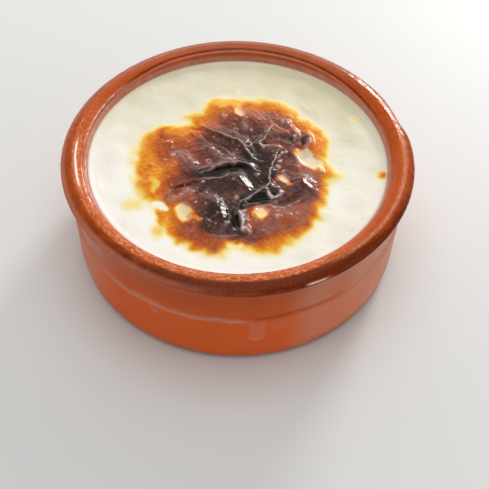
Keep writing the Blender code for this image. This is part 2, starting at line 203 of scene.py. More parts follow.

# Thin edges and small crests on the skin, paler partly as dry edges and partly with painted highlight:
# height, half width, paleness, points
EDGES = [
    (0.4, 0.25, 0.75, UPPER_LINE + [(6.3, -1.3), (8.8, -1.4)]),
    (0.45, 0.25, 0.85, INNER_LINE + [(7.9, 4.8), (8.8, 4.2), (10, 6.2), (13.2, 5.3), (15, 4.7)]),
    (0.3, 0.4, 0.5, [(11.4, 15.6), (12.8, 16.3), (14.7, 14.4), (17, 13.1), (17.9, 11.4)]),
    (0.4, 0.21, 0.9, [(15, 4.7), (13.2, 3.7), (12.9, 1.1), (11.1, -5), (10.3, -9), (10.8, -11.6),
                      (9, -13.9), (3.7, -18.1), (1.1, -19.7), (-0.4, -24.2)]),
    (0.35, 0.5, 1.0, [(8.0, 8.0), (7.4, 6.4), (8.6, 5.2), (10.4, 5.4)]),
    (0.3, 0.25, 0.7, LOWER_LINE + [(8.1, -6.7)]),
    (0.25, 0.3, 0.5, [(-12.6, -10.3), (-5.2, -9), (0.7, -7)]),
    (0.3, 1.1, 0.4, [(-22.0, 2.2), (-20.0, 0.7), (-18.1, -1.5), (-16.2, -3.3), (-14.2, -6.2)]),
    (0.5, 1.4, 0.3, [(-10.3, 4.4), (-8.2, 2.8), (-6.3, 0.9), (-4.0, -0.4), (-1.7, -2.4)]),
    (0.1, 0.8, 0.6, [(-4.2, -0.4), (-2.6, -1.4), (-1.2, -2.4)]),
    (0.3, 1.2, 0.3, [(23.6, 12.2), (24.2, 7.6), (22.9, 3.8)]),
    (0.4, 0.9, 0.5, [(14.8, 18.6), (16.4, 16.9)]),
    (0.4, 1.0, 0.4, [(27.3, -3.6), (28.1, -7)]),
    (0.4, 1.0, 0.35, [(1.6, 17.4), (2.6, 13.4)]),
    (0.35, 0.5, 0.8, [(-6.3, 20.3), (-4.6, 19.1)]),
    (0.6, 1.3, 0.35, [(-24, -19.6), (-22.5, -19.3), (-19.3, -18.6), (-17, -16.6), (-13.9, -16)]),
    (0.4, 0.9, 0.0, [(-11.0, -28.6), (-8.4, -30.2)]),
    (0.5, 0.5, 1.3, [(-0.4, -24.5), (0.9, -25.1), (1.6, -27.1), (1.9, -29.4), (1.9, -31.7), (4.2, -33.3)]),
    (0.5, 0.5, 1.3, [(9.6, -14.9), (10.2, -16.0), (11.4, -16.9), (12.9, -16.9), (14.6, -15.6)]),
    (0.3, 0.4, 0.4, [(8.6, -21.4), (12.9, -21.6), (14.9, -23), (17.5, -21.2), (22.5, -17.3)]),
    (0.25, 0.4, 0.3, [(-9.4, -35), (-4.6, -35.6), (1.1, -34.6)]),
    (0.2, 0.35, 0.3, [(1.8, -21.9), (4.4, -20.9), (7.2, -20.3)]),
]

# Thin dark creases: depth, half width, points
CREASES = [
    (0.5, 0.5, [(-22.3, -16.2), (-19.7, -14), (-14.7, -11.5), (-12.4, -10.5)]),
    (0.4, 0.5, [(-14.9, -19.3), (-12.1, -16), (-9.6, -13.4)]),
    (0.5, 0.55, [(8.6, -20.5), (12.9, -20.7), (14.9, -22.1), (17.3, -20.5), (22.5, -16.5)]),
    (0.4, 0.6, [(14.3, -12.5), (17.5, -11.4), (20.6, -10.7)]),
    (0.4, 0.5, [(-8.9, -33.9), (-4.6, -34.6), (1.1, -33.6)]),
    (0.4, 0.5, [(22.8, 10.2), (23.1, 12.9)]),
    (0.35, 0.6, [(-7.4, -18.6), (-4.1, -17.4), (-1.1, -18.0), (-0.2, -20.3)]),
]

# Rings round burst bubbles: x, y, radius, half width, height, paleness, partly painted highlight
RINGS = [
    (3.3, 6.0, 1.1, 0.28, 0.35, 0.9), (2.4, -28.2, 0.7, 0.3, 0.25, 0.7), (-9.9, -2.4, 0.8, 0.3, 0.2, 0.5),
    (20.4, 8.4, 1.1, 0.3, 0.25, 0.5),
]

# Small beads: x, y, radius, height, paleness, partly painted highlight
BEADS = [
    (16.2, 3.1, 0.6, 0.3, 0.8), (15.0, 2.8, 0.6, 0.3, 0.8), (14.1, 1.5, 0.6, 0.3, 0.8),
    (14.1, -1.1, 0.6, 0.35, 0.8), (13.7, -3.2, 0.9, 0.4, 0.8), (15.1, -5.2, 0.8, 0.35, 0.7),
    (19.5, 10.2, 0.8, 0.35, 0.8), (-24.4, 6.9, 1.0, 0.35, 0.7), (-22.6, 4.6, 0.6, 0.25, 0.6),
    (21.2, 10.5, 0.8, 0.3, 0.6), (18.1, 21.0, 0.8, 0.3, 0.5), (-22.5, 0.1, 0.8, 0.3, 0.6),
    (6.3, -7.8, 1.0, 0.4, 0.3), (1.4, -8.1, 0.9, 0.4, 0.3), (12.9, -27.4, 1.0, 0.35, 0.6),
    (12.0, -22.7, 0.6, 0.25, 0.5), (19.2, -24.9, 0.6, 0.25, 0.5), (-10.4, -16.5, 0.6, 0.25, 0.5),
    (-11.7, -11.4, 0.7, 0.3, 0.6), (-13.4, -21.4, 0.7, 0.3, 0.5), (-7.4, -18.2, 0.7, 0.3, 0.4),
    (-0.2, -18.4, 0.9, 0.35, 0.5), (-30.6, -12.4, 0.8, 0.3, 0.2), (4.4, 13.5, 0.6, 0.25, 0.5),
    (-3.4, -31.6, 1.1, 0.4, 0.2), (2.3, -24.2, 0.8, 0.35, 0.7), (0.8, -24.9, 0.8, 0.3, 1.0),
    (1.7, -27.2, 0.9, 0.3, 1.0), (2.0, -29.6, 0.8, 0.3, 1.0), (2.2, -32.0, 0.9, 0.3, 1.0),
    (4.1, -33.2, 0.8, 0.3, 0.9), (11.6, -16.9, 0.9, 0.3, 1.0), (14.5, -15.3, 0.9, 0.3, 1.0),
    (9.7, -14.7, 0.7, 0.3, 0.9),
]

# Wet bulges that catch the light: x, y of the highlight, half width, half length
WET_BULGES = [
    (2.0, -11.0, 3.3, 4.2), (4.4, -14.4, 2.0, 1.6), (-4.4, -25.3, 2.4, 6.4), (-8.9, -29.6, 1.8, 1.4),
    (21.3, -10.7, 1.4, 1.4), (23.9, -13.4, 1.7, 2.0), (26.2, -15.6, 1.2, 1.2), (19.6, 10.2, 1.0, 1.0),
    (21.3, 10.6, 0.9, 1.2), (20.4, 7.6, 1.1, 1.0), (24.5, 12.2, 1.2, 1.6), (25.0, 7.6, 1.2, 1.6),
    (23.8, 3.7, 0.9, 1.2), (15.6, 18.7, 1.1, 1.4), (16.9, 17.0, 0.9, 1.2), (18.1, 21.0, 0.9, 1.0),
    (28.5, -5.0, 1.0, 1.8), (-18.6, 0.3, 1.2, 2.0), (-8.8, 4.0, 1.1, 1.4),
]

# Wet flat patches that mirror the light: x, y, half width, half length, turn, rise
WET_PATCHES = [
    (2.7, -11.7, 1.15, 3.2, 39, 0.25), (22.9, -12.6, 1.1, 2.6, 40, 0.25), (-4.5, -25.4, 1.2, 3.9, 8, 0.3),
]
PATCH_SLOPE = (-0.38, -0.13)

# Where the bulges' lit flanks face, and how steep they are
LIGHT_TURN = 19.0
LIGHT_SLOPE = 0.46
BULGE_OFFSET = 0.7

# Small beads of fat scattered over the skin
SCATTER_COUNT = 200
SCATTER_SEED = 12

# Faint swellings of grains and cream under the surface: x, y, half width, half depth, turn, height
GLINT_SWELLS = [
    (-49, -3, 1.3, 8, 0, 0.12), (-43.2, -2.3, 1.2, 2.5, 0, 0.08), (-46, -14, 1.3, 4, 20, 0.1),
    (42.1, -24.5, 1.6, 3.2, -30, 0.14), (37.9, -30.2, 1.6, 2.2, -40, 0.12),
    (41.6, -18.8, 1.4, 2.6, -15, 0.12), (23.5, 26.2, 1.6, 3.6, 40, 0.12),
    (36.3, -0.9, 1.4, 2.4, -10, 0.08), (39.8, -14.8, 1.4, 2.4, 0, 0.1),
]

# The direction of the bowl's front
FRONT = 270.0

# Darkness of the glaze, from 0 (bare clay) to 1 (dark brown): by height on the wall, where the dark just
# under the rim is partly painted shade, and on the rim by millimetres outside the crest along the section
RIM_FROM_Z = HEIGHT - 4.2
WALL_TONES = [(4.0, 0.0), (SHOULDER_Z - 0.6, 0.06), (SHOULDER_Z + 1.0, 0.22), (29.0, 0.32), (33.0, 0.45),
              (36.0, 0.62), (38.0, 0.78)]
RIM_TONES = [(-7.0, 0.7), (-4.5, 0.66), (-3.0, 0.54), (0.4, 0.52)]
RIM_BASE = 0.55
RIM_BAND = [(0.2, 0.0), (1.1, 0.8), (2.0, 1.0), (3.0, 0.95), (4.2, 0.5), (7.0, 0.42), (9.0, 0.3)]
RIM_BAND_RIGHT = [(0.9, 0.0), (1.8, 0.35), (3.0, 0.6), (4.4, 1.0), (7.0, 1.0), (9.0, 0.5)]

# How strong the rim's dark band is, partly darker glaze and partly painted shade on its outer face, and how
# much darker the wall under it is with painted shade: degrees from the front, share
BAND_STRENGTH = [(-180, 0.3), (-110, 0.14), (-60, 0.18), (-40, 0.3), (-20, 0.44), (0, 0.58), (20, 0.7),
                 (45, 0.7), (60, 0.5), (80, 0.26), (110, 0.26), (180, 0.3)]
UNDER_RIM_PAINTED_SHADE = [(-180, -0.2), (-80, -0.35), (-40, -0.32), (-20, -0.26), (0, -0.1), (20, -0.04),
                    (40, 0.08), (60, 0.04), (80, -0.1), (180, -0.2)]

# Marks of the turning tool round the rim: millimetres outside the crest along the section, half width, rise
RIM_MARKS = [(0.2, 0.3, 0.14), (-3.3, 0.35, 0.12), (2.4, 0.5, 0.05)]

# Relief above this is cut off, as the bowl has to stay inside its solid
HIGHEST_RELIEF = 0.16

# Darkness of the rim's top: degrees from the front, change
RIM_DARKER = [(-180, 0.16), (-130, 0.08), (-100, 0.02), (0, 0.06), (60, 0.04), (110, 0.04), (140, 0.12),
              (180, 0.16)]

# The groove inside the rim's crest: degrees from the front, millimetres along the section, share
GROOVE = [(0, -4.6, 0.0), (100, -4.6, 0.0), (112, -4.3, 1.0), (128, -3.6, 1.0), (150, -2.8, 1.0),
          (180, -2.5, 1.0)]
GROOVE_DEPTH = 0.3
GROOVE_HALF_WIDTH = 0.2

# The pale film inside the wall: degrees from the front, paleness
INNER_FILM = [(-180, 0.3), (-100, 0.4), (-60, 0.3), (-20, 0.2), (20, 0.2), (60, 0.35), (110, 0.5),
              (180, 0.3)]

# The plain wall at the back: degrees from the front where it begins, paleness
BACK_FROM = 100.0
BACK_FILM = 0.25

# The pale line on the shoulder, partly painted highlight on its ledge: where it ends, in degrees from the
# front, and its paleness
SHOULDER_LINE_END = 8.0
SHOULDER_FILM_AND_HIGHLIGHT = 0.75

# The crack and the glint beside it under the rim's front edge: degrees from the front, millimetres
# along the section outside the crest
CRACK_FROM = 8.0
CRACK_TO = 21.5
CRACK_GLINT_TO = 30.0
CRACK_REACH = 4.5
CRACK_HALF_WIDTH = 0.35
CRACK_DEPTH = 0.5
GLINT_REACH = 4.95

# Painted highlights at the left, the bright line on the lip and the white streak on the crest: degrees from
# the front
LIP_LINE_REACH = -3.6
LIP_LINE_MIDDLE = -110.0
LIP_LINE_HALF_ANGLE = 16.0
HIGHLIGHT_STREAK_MIDDLE = -82.0
HIGHLIGHT_STREAK_REACH = -1.0

# Drips of glaze below the shoulder: degrees from the front, half width, top, bottom, paleness
DRIPS = [(7.2, 2.1, SHOULDER_Z, 12.5, 0.5), (14.5, 2.4, SHOULDER_Z, 17.5, 0.22),
         (-27.0, 1.2, SHOULDER_Z, 19.0, 0.4)]

# Rice under the cream, and the cream's rise at the wall, higher at the left
GRAIN_COUNT = 90
GRAIN_SEED = 5
GRAIN_RISE = 0.09
GRAIN_HALF_SIZE = (1.3, 3.2)
LEFT_MENISCUS = 0.3
EDGE_RISE = 0.25
EDGE_PALENESS = 0.4

# Fineness of the two meshes
PUDDING_SEGMENTS = 560
FINE_RING = 0.26
FINE_REACH = 31.0
COARSE_RINGS = 36
BOWL_SEGMENTS = 600
RIM_STEP = 0.28
WALL_STEP = 0.8


def smooth(value):
    value = np.clip(value, 0.0, 1.0)
    return value * value * (3.0 - 2.0 * value)


def bell(away, half_width):
    """1 in the middle, fading softly to both sides."""
    return np.exp(-((away / half_width) ** 2))


def mixed(first, second, share):
    return first + (second - first) * share


def look_up(value, table):
    """Reads a table of pairs, in straight lines from one to the next."""
    return np.interp(value, *zip(*table))


def ripple(places, wavelength, seed, count=14):
    """Smooth irregular relief of about that wavelength, roughly from -1 to 1."""
    draw = np.random.default_rng(seed)
    total = np.zeros(len(places))
    for _ in range(count):
        direction = draw.normal(size=places.shape[1])
        direction /= np.linalg.norm(direction)
        length = wavelength * draw.uniform(0.7, 1.5)
        total += np.sin(places @ direction * 2.0 * np.pi / length + draw.uniform(0.0, 2.0 * np.pi))
    return total / math.sqrt(0.5 * count) * 0.5


def warped(x, y, amount, wavelength, seed):
    """Places moved a little, so that the lines and ovals laid over them run unevenly."""
    flat = np.stack([x, y], -1)
    return x + amount * ripple(flat, wavelength, seed), y + amount * ripple(flat, wavelength, seed + 1)


def along_line(x, y, line):
    """For each place: distance to the line, its side (left is +1), and how far along it lies."""
    line = np.array(line, float)
    lengths = np.hypot(*np.diff(line, axis=0).T)
    starts = np.concatenate([[0.0], np.cumsum(lengths)])
    best = np.full(x.shape, np.inf)
    side = np.ones(x.shape)
    share = np.zeros(x.shape)
    for k, length in enumerate(lengths):
        ux, uy = (line[k + 1] - line[k]) / length
        dx, dy = x - line[k][0], y - line[k][1]
        t = np.clip(dx * ux + dy * uy, 0.0, length)
        distance = np.hypot(dx - t * ux, dy - t * uy)
        nearer = distance < best
        best = np.where(nearer, distance, best)
        side = np.where(nearer, np.where(ux * dy - uy * dx >= 0.0, 1.0, -1.0), side)
        share = np.where(nearer, (starts[k] + t) / starts[-1], share)
    return best, side, share


def taper(share):
    """Full height along the middle of a fold, sinking towards both ends."""
    return smooth(END_SHARE + END_SLOPE * np.minimum(share, 1.0 - share))


def oval_share(x, y, middle_x, middle_y, half_width, half_depth, turn=0.0):
    """0 at the middle of a turned oval, 1 on its edge."""
    angle = np.radians(turn)
    dx, dy = x - middle_x, y - middle_y
    across = (dx * np.cos(angle) + dy * np.sin(angle)) / half_width
    along = (dy * np.cos(angle) - dx * np.sin(angle)) / half_depth
    return np.hypot(across, along)


def inside_outline(x, y, outline):
    """True where a place lies inside the closed outline."""
    inside = np.zeros(x.shape, bool)
    for (x0, y0), (x1, y1) in zip(outline, outline[1:] + outline[:1]):
        if y0 == y1:
            continue
        crosses = (y0 > y) != (y1 > y)
        inside ^= crosses & (x < x0 + (y - y0) * (x1 - x0) / (y1 - y0))
    return inside


def depth_in_skin(x, y):
    """Millimetres inside the edge of the browned skin, below zero outside it."""
    edge, _, _ = along_line(x, y, SKIN_OUTLINE + SKIN_OUTLINE[:1])
    return np.where(inside_outline(x, y, SKIN_OUTLINE), edge, -edge)


def pudding_height(x, y, depth):
    """Height of the pudding and its skin over the base, with the solid's form."""
    from_wall = INNER_RADIUS - np.hypot(x, y)
    inner_share = smooth(from_wall / LEVEL_RING)
    z = np.full(x.shape, FILL_Z) - MENISCUS * smooth(from_wall / MENISCUS_WIDTH)
    for height, count, direction, phase in WAVES:
        turn = np.radians(direction)
        across = (x * np.cos(turn) + y * np.sin(turn)) / (2.0 * INNER_RADIUS)
        z += inner_share * height * np.sin(2.0 * np.pi * count * across + phase)
    z += SKIN_LIFT * smooth(0.5 + 0.5 * depth / SKIN_EDGE)
    for *oval, height in SWELLINGS:
        z += inner_share * height * smooth(1.0 - oval_share(x, y, *oval))
    for height, left, right, line in FOLDS:
        distance, side, share = along_line(x, y, line)
        z += height * taper(share) * bell(distance, SHARPER * np.where(side > 0.0, left, right))
    for cut, half_width, line in SLITS:
        distance, _, share = along_line(x, y, line)
        z -= cut * taper(share) * bell(distance, SHARPER * half_width)
    for *oval, cut in WINDOWS:
        z -= cut * smooth(WINDOW_STEEPNESS * (WINDOW_REACH - oval_share(x, y, *oval)))
    for middle_x, middle_y, size, height in BLISTERS:
        share = 0.8 * np.hypot(x - middle_x, y - middle_y) / size
        z += height * smooth(1.15 * (1.0 - share))
    return z


def grains(x, y):
    """Faint long swellings of rice under the cream."""
    draw = np.random.default_rng(GRAIN_SEED)
    height = np.zeros(x.shape)
    for _ in range(GRAIN_COUNT):
        turn = draw.uniform(0.0, 2.0 * np.pi)
        away = draw.uniform(28.0, INNER_RADIUS - 3.0)
        tilt = draw.uniform(0.0, 180.0)
        rise = GRAIN_RISE * draw.uniform(0.4, 1.0)
        share = oval_share(x, y, away * np.cos(turn), away * np.sin(turn), *GRAIN_HALF_SIZE, tilt)
        height += rise * smooth(1.0 - share)
    return height


def wet_bulges(x, y):
    """Short ridges whose right flank leans towards the light."""
    turn = np.radians(LIGHT_TURN)
    near_x, near_y = warped(x, y, 0.18, 2.6, 44)
    height = np.zeros(x.shape)
    for spot_x, spot_y, half_width, half_length in WET_BULGES:
        dx, dy = near_x - spot_x, near_y - spot_y
        across = dx * np.cos(turn) + dy * np.sin(turn) + BULGE_OFFSET * half_width
        along = dy * np.cos(turn) - dx * np.sin(turn)
        fade = smooth(1.5 - 0.9 * np.abs(along) / half_length)
        height = np.maximum(height, LIGHT_SLOPE * half_width * fade * bell(across, half_width))
    return height


def add_wet_patches(x, y, z):
    """The surface with each wet patch laid in as a tilted, slightly uneven plane with soft edges."""
    near_x, near_y = warped(x, y, 0.25, 3.0, 46)
    uneven = 0.021 * ripple(np.stack([x, y], -1), 1.7, 49)
    for middle_x, middle_y, *form, rise in WET_PATCHES:
        share = oval_share(near_x, near_y, middle_x, middle_y, *form)
        level = z[np.argmin(np.hypot(x - middle_x, y - middle_y))] + rise
        plane = level + PATCH_SLOPE[0] * (x - middle_x) + PATCH_SLOPE[1] * (y - middle_y)
        z = mixed(z, plane + uneven, smooth((1.35 - share) / 0.5))
    return z


def scattered_beads(x, y, depth):
    """Small beads all over the browned skin: their height, and how pale they are, a painted highlight on
    their tops.
    """
    draw = np.random.default_rng(SCATTER_SEED)
    height = np.zeros(x.shape)
    for _ in range(SCATTER_COUNT):
        middle_x, middle_y = draw.uniform(-34.0, 34.0), draw.uniform(-42.0, 29.0)
        size = draw.uniform(0.35, 0.75)
        rise = draw.uniform(0.08, 0.22)
        near = (np.abs(x - middle_x) < 1.3) & (np.abs(y - middle_y) < 1.3)
        bead = smooth(1.25 - np.hypot(x[near] - middle_x, y[near] - middle_y) / size)
        height[near] = np.maximum(height[near], rise * bead)
    height = height * smooth((depth - 1.0) / 2.0)
    return height, 2.2 * height * smooth((depth - 5.0) / 3.0)


def fine_relief(x, y):
    """The skin's thin edges, creases, rings and beads: their height, and how pale they are, partly as
    painted highlight.
    """
    height = np.zeros(x.shape)
    pale_and_highlight = np.zeros(x.shape)
    near_x, near_y = warped(x, y, 0.25, 3.0, 41)
    uneven = 0.75 + 0.35 * ripple(np.stack([x, y], -1), 2.2, 43)
    for rise, half_width, paleness, line in EDGES:
        distance, _, share = along_line(near_x, near_y, line)
        ridge = taper(share) * bell(distance, half_width)
        height += rise * uneven * ridge
        pale_and_highlight = np.maximum(pale_and_highlight, paleness * uneven * ridge)
    for cut, half_width, line in CREASES:
        distance, _, share = along_line(near_x, near_y, line)
        height -= cut * taper(share) * bell(distance, half_width)
    for middle_x, middle_y, size, half_width, rise, paleness in RINGS:
        ring = bell(np.hypot(near_x - middle_x, near_y - middle_y) - size, half_width)
        height += rise * ring
        pale_and_highlight = np.maximum(pale_and_highlight, paleness * uneven * ring)
    for middle_x, middle_y, size, rise, paleness in BEADS:
        bead = smooth(1.25 - np.hypot(near_x - middle_x, near_y - middle_y) / size)
        height += rise * bead
        pale_and_highlight = np.maximum(pale_and_highlight, paleness * bead)
    return height, np.clip(pale_and_highlight, 0.0, 1.0)


def bake_and_shade_degree(x, y):
    """How far each place is baked, from 0 (cream) to 1 (black), with dark painted shade in the slits, the
    pit and under the blob.
    """
    flat = np.stack([x, y], -1)
    warp_x = x + 0.8 * ripple(flat, 5.0, 11) + 0.18 * ripple(flat, 1.7, 12)
    warp_y = y + 0.8 * ripple(flat, 5.0, 13) + 0.18 * ripple(flat, 1.7, 14)
    bake_and_shade = look_up(depth_in_skin(warp_x, warp_y), BAKE_BY_DEPTH)
    for *oval, degree, blur in BAKE_AND_SHADE_AREAS:
        share = oval_share(warp_x, warp_y, *oval)
        bake_and_shade = mixed(bake_and_shade, degree, smooth((1.0 + blur - share) / (2.0 * blur)))
    for *oval, degree in SPOTS:
        share = oval_share(0.5 * (x + warp_x), 0.5 * (y + warp_y), *oval)
        bake_and_shade = np.maximum(bake_and_shade, degree * smooth(1.1 * (1.2 - share)))
    mottle = 0.6 * ripple(flat, 1.6, 15) + 0.4 * ripple(flat, 3.6, 16)
    bake_and_shade = bake_and_shade + 0.05 * mottle * smooth((bake_and_shade - 0.1) / 0.2)
    return np.clip(bake_and_shade, 0.0, 1.0)


def pudding_top(x, y):
    """The top's height at each place, and the values that its material reads."""
    flat = np.stack([x, y], -1)
    from_wall = PUDDING_RADIUS - np.hypot(x, y)
    depth = depth_in_skin(x, y)
    bake_and_shade = bake_and_shade_degree(x, y)
    browned = smooth((bake_and_shade - 0.2) / 0.4)
    cream = 1.0 - browned
    z = pudding_height(x, y, depth)
    waves = 0.02 * ripple(flat, 6.0, 21, 40) + 0.006 * ripple(flat, 2.4, 22, 40)
    z += smooth(from_wall / 3.0) * cream * waves + cream * grains(x, y)
    at_left = smooth(1.4 - np.abs(np.degrees(np.arctan2(y, -x)) + 4.0) / 28.0)
    edge_rise = EDGE_RISE * smooth(0.5 + y / 60.0) + LEFT_MENISCUS * at_left
    z += edge_rise * smooth(1.0 - from_wall / 1.8)
    crusty = browned * smooth((1.05 - bake_and_shade) / 0.25)
    z += crusty * (0.07 * ripple(flat, 3.4, 23) + 0.035 * ripple(flat, 1.3, 24))
    for *oval, rise in GLINT_SWELLS:
        z += rise * smooth(1.0 - oval_share(x, y, *oval))
    relief, pale_and_highlight = fine_relief(x, y)
    beads, bead_highlight = scattered_beads(x, y, depth)
    z += relief + wet_bulges(x, y) + beads * smooth((1.05 - bake_and_shade) / 0.3)
    z = add_wet_patches(x, y, z) + 0.015 * browned * ripple(flat, 1.4, 48)
    # Painted highlight on the beads' tops
    pale_and_highlight = np.maximum(pale_and_highlight, bead_highlight * smooth((1.0 - bake_and_shade) / 0.3))
    for *oval, _ in WINDOWS:
        pale_and_highlight = np.maximum(pale_and_highlight, WINDOW_PALENESS * smooth(2.0 * (1.3 - oval_share(x, y, *oval))))
    pale_and_highlight = np.maximum(pale_and_highlight, EDGE_PALENESS * smooth(1.0 - (from_wall - 0.2) / 1.3))
    # A greyish mauve tone on the crust, partly painted wet sheen
    grey_and_sheen = smooth(0.25 + 0.5 * ripple(flat, 7.0, 28) + 0.35 * ripple(flat, 2.5, 29) + 0.02 * x)
    # Painted shade: the cream turns darker and yellower towards the back and the right, where the rim's
    # shadow falls
    warm_and_shade = 0.85 * smooth((y + 20.0) / 66.0) + 0.3 * smooth((x + 10.0) / 55.0)
    warm_and_shade = warm_and_shade + 0.12 * ripple(flat, 12.0, 26) + 0.04 * ripple(flat, 3.5, 27)
    return z, {"bake_and_shade": bake_and_shade, "pale_and_highlight": pale_and_highlight, "warm_and_shade": np.clip(warm_and_shade, 0.0, 1.0), "grey_and_sheen": browned * grey_and_sheen}


def catmull_rom(points):
    """A smooth line through the points, finer on the rim than on the walls."""
    points = [np.array(p, float) for p in points]
    ends = [2.0 * points[0] - points[1]] + points + [2.0 * points[-1] - points[-2]]
    line = []
    for a, b, c, d in zip(ends, ends[1:], ends[2:], ends[3:]):
        step = RIM_STEP if c[1] > RIM_FROM_Z - 1.0 else WALL_STEP
        count = max(1, round(float(np.linalg.norm(c - b)) / step))
        for k in range(count):
            t = k / count
            line.append(0.5 * (2.0 * b + (c - a) * t + (2.0 * a - 5.0 * b + 4.0 * c - d) * t ** 2
                               + (3.0 * b - 3.0 * c + d - a) * t ** 3))
    line.append(points[-1])
    return line


def arc(centre, size, start, end, steps):
    """Points on part of a circle in the (radius, z) plane, its angles in degrees."""
    turns = np.radians(np.linspace(start, end, steps + 1))
    return [(centre[0] + size * np.cos(t), centre[1] + size * np.sin(t)) for t in turns]


def hand_shift(angle, radius, z):
    """How far the thrower's hand moved a place on the outside or the rim from a true circle."""
    oval = OVAL * np.cos(2.0 * (angle - np.radians(OVAL_ANGLE))) + WAVER * np.cos(4.0 * angle)
    from_dent = np.degrees(angle) - DENT_ANGLE
    dent = DENT_DEPTH * bell(from_dent, np.where(from_dent > 0.0, DENT_BACK_HALF_ANGLE, DENT_HALF_ANGLE))
    dent = dent * smooth((z - DENT_FROM_Z) / DENT_FADE) * smooth((radius - DENT_FROM_RADIUS) / 2.4)
    drift = LIP_DRIFT * (0.5 + 0.5 * np.sin(angle)) ** 2
    outward = (radius - INNER_RADIUS) / (RIM_RADIUS - INNER_RADIUS)
    from_lip = smooth(outward / LIP_SHARE)
    to_edge = smooth(outward)
    return drift * from_lip * (1.0 - to_edge) + (oval * z / HEIGHT - dent) * to_edge


def add_object(name, data):
    made = bpy.data.objects.new(name, data)
    bpy.context.scene.collection.objects.link(made)
    return made


def add_piece(name, points, faces, values):
    """Make a smooth mesh from points in millimetres. Values too few for all points are filled with 0."""
    mesh = bpy.data.meshes.new(name)
    mesh.from_pydata((np.asarray(points, float) * MM).tolist(), [], faces)
    for value_name, numbers in values.items():
        padded = np.zeros(len(points), np.float32)
        padded[:len(numbers)] = numbers
        mesh.attributes.new(value_name, "FLOAT", "POINT").data.foreach_set("value", padded)
    mesh.shade_smooth()
    mesh.update()
    return add_object(name, mesh)


def ring_quads(rings, segments, first=0):
    """Quads between rings of points that lie one after another, for rings that run outside and down."""
    faces = []
    for ring in range(rings - 1):
        upper = first + ring * segments
        lower = upper + segments
        for k in range(segments):
            beside = (k + 1) % segments
            faces.append((upper + k, lower + k, lower + beside, upper + beside))
    return faces


def fan(middle, start, segments, turn):
    """Triangles from a middle point to a ring of points, facing the other way where turn is -1."""
    return [(middle, *(start + k, start + (k + 1) % segments)[::turn]) for k in range(segments)]


def make_pudding():
    """The pudding's top in fine rings, its sides just inside the wall, and a plain bottom."""
    radii = np.concatenate([np.arange(FINE_RING, FINE_REACH, FINE_RING),
                            np.linspace(FINE_REACH, PUDDING_RADIUS, COARSE_RINGS)])
    angles = np.linspace(0.0, 2.0 * np.pi, PUDDING_SEGMENTS, endpoint=False)
    x = np.concatenate([[0.0], np.outer(radii, np.cos(angles)).ravel()])
    y = np.concatenate([[0.0], np.outer(radii, np.sin(angles)).ravel()])
    z, values = pudding_top(x, y)
    points = np.stack([x, y, z], -1).tolist()
    side = [(INNER_RADIUS - SIDE_GAP, FILL_Z - 1.0)]
    side += arc(HOLLOW_CENTRE, INNER_ROUNDING - SIDE_GAP, 0.0, -90.0, 8)
    for radius, level in side:
        points += [(radius * math.cos(a), radius * math.sin(a), level) for a in angles]
    points.append((0.0, 0.0, side[-1][1]))
    last = len(points) - 1
    faces = fan(0, 1, PUDDING_SEGMENTS, 1) + ring_quads(len(radii) + len(side), PUDDING_SEGMENTS, 1)
    faces += fan(last, last - PUDDING_SEGMENTS, PUDDING_SEGMENTS, -1)
    return add_piece("rice_pudding", points, faces, values)


def bowl_profile():
    """The bowl's section from the middle of the hollow, over the rim and down to the base."""
    hollow = arc(HOLLOW_CENTRE, INNER_ROUNDING, -90.0, 0.0, 8)
    hollow.append((INNER_RADIUS, 0.5 * (HOLLOW_CENTRE[1] + FILL_Z)))
    rim = [(INNER_RADIUS, FILL_Z)] + [(RIM_RADIUS + r, HEIGHT + z) for r, z in RIM_SECTION]
    wall = [(RIM_RADIUS + r, z) for r, z in WALL_SECTION]
    foot = arc((FOOT_RADIUS - FOOT_ROUNDING, FOOT_ROUNDING), FOOT_ROUNDING, 0.0, -90.0, 10)
    return np.array(hollow + catmull_rom(rim + wall + foot[:1]) + foot[1:])


def groove_share(from_front, reach, z):
    """1 in the middle of the groove inside the rim's crest, 0 away from it."""
    degrees, places, shares = zip(*GROOVE)
    away = reach - np.interp(np.abs(from_front), degrees, places)
    return np.interp(np.abs(from_front), degrees, shares) * (z > FILL_Z) * bell(away, GROOVE_HALF_WIDTH)


def crack_share(from_front, reach):
    """1 in the middle of the fine crack under the rim's front edge, 0 away from it."""
    share = smooth((from_front - CRACK_FROM) / 3.0) * smooth((CRACK_TO - from_front) / 3.0)
    bend = 0.15 * np.sin(from_front * 0.9)
    return share * bell(reach - CRACK_REACH - bend, CRACK_HALF_WIDTH)


def rim_tones(angle, from_front, reach, spot, behind):
    """How dark the rim's glaze is, with its bands, fine streaks and darker back; the dark band on the outer
    face is partly painted shade.
    """
    near_reach = reach + 0.2 * ripple(spot, 12.0, 33) + 0.05 * ripple(spot, 4.0, 35)
    right_share = smooth((from_front - 24.0) / 30.0) * (1.0 - behind)
    band = mixed(look_up(near_reach, RIM_BAND), look_up(near_reach, RIM_BAND_RIGHT), right_share)
    tone = look_up(near_reach, RIM_TONES) + band * look_up(from_front, BAND_STRENGTH)
    tone = tone + (RIM_BASE - RIM_TONES[-1][1]) * smooth(near_reach)
    drawn_out = np.stack([15.0 * np.cos(angle), 15.0 * np.sin(angle), 0.8 * reach], -1)
    tone = tone + 0.05 * ripple(drawn_out, 1.2, 55) + 0.02 * ripple(spot, 4.0, 56)
    return tone + look_up(from_front, RIM_DARKER)


